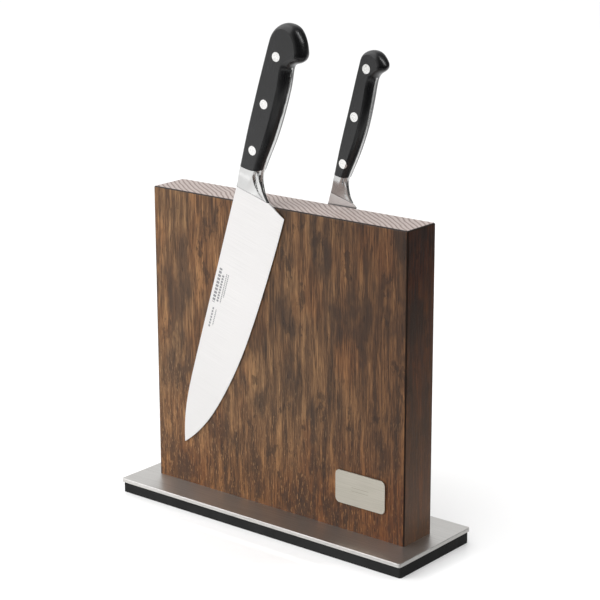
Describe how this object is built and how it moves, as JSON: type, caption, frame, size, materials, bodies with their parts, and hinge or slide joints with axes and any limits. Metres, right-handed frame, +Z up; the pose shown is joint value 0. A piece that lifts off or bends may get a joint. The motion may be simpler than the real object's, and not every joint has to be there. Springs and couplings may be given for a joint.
{
  "type": "magnetic knife block with knives",
  "caption": "Upright magnetic wooden knife block on a steel base plate, with a broad chef's knife held on one face and a slim utility knife on the other.",
  "frame": {"origin": "middle of the base plate's outline, on the surface that the block stands on", "axes": "+X along the block's width, +Y towards the rear face that holds the utility knife, +Z up"},
  "size_m": [0.284, 0.092, 0.397],
  "materials": {
    "stained_wood": "dark stained, satin lacquer",
    "base_steel": "brushed",
    "pad_rubber": "matt",
    "screw_steel": "plain",
    "insert_brass": "turned",
    "magnet_ferrite": "pressed and ground",
    "keeper_steel": "cold rolled",
    "badge_steel": "brushed",
    "adhesive_foam": "closed-cell foam",
    "knife_steel": "satin ground, polished collar",
    "handle_plastic": "satin",
    "rivet_steel": "ground flush"
  },
  "bodies": {
    "stand": {"badge": "badge_steel", "badge_adhesive": "adhesive_foam", "base_pad": "pad_rubber", "base_plate": "base_steel", "base_screw_1": "screw_steel", "base_screw_2": "screw_steel", "base_screw_3": "screw_steel", "base_screw_4": "screw_steel", "front_keeper_1": "keeper_steel", "front_keeper_2": "keeper_steel", "front_keeper_3": "keeper_steel", "front_magnets_1": "magnet_ferrite", "front_magnets_2": "magnet_ferrite", "front_magnets_3": "magnet_ferrite", "front_panel": "stained_wood", "rear_keeper_1": "keeper_steel", "rear_keeper_2": "keeper_steel", "rear_keeper_3": "keeper_steel", "rear_magnets_1": "magnet_ferrite", "rear_magnets_2": "magnet_ferrite", "rear_magnets_3": "magnet_ferrite", "rear_panel": "stained_wood", "threaded_insert_1": "insert_brass", "threaded_insert_2": "insert_brass", "threaded_insert_3": "insert_brass", "threaded_insert_4": "insert_brass"},
    "chef_knife": {"chef_blade": "knife_steel", "chef_rivet_1_pin": "rivet_steel", "chef_rivet_1_socket": "rivet_steel", "chef_rivet_2_pin": "rivet_steel", "chef_rivet_2_socket": "rivet_steel", "chef_rivet_3_pin": "rivet_steel", "chef_rivet_3_socket": "rivet_steel", "chef_scale_front": "handle_plastic", "chef_scale_rear": "handle_plastic"},
    "utility_knife": {"utility_blade": "knife_steel", "utility_rivet_1_pin": "rivet_steel", "utility_rivet_1_socket": "rivet_steel", "utility_rivet_2_pin": "rivet_steel", "utility_rivet_2_socket": "rivet_steel", "utility_rivet_3_pin": "rivet_steel", "utility_rivet_3_socket": "rivet_steel", "utility_scale_front": "handle_plastic", "utility_scale_rear": "handle_plastic"}
  },
  "joints": [
    {"name": "chef_knife_pull", "type": "slide", "parent": "stand", "child": "chef_knife", "axis": [0, -1, 0], "range_m": [0, 0.15]},
    {"name": "utility_knife_pull", "type": "slide", "parent": "stand", "child": "utility_knife", "axis": [0, 1, 0], "range_m": [0, 0.15]}
  ]
}
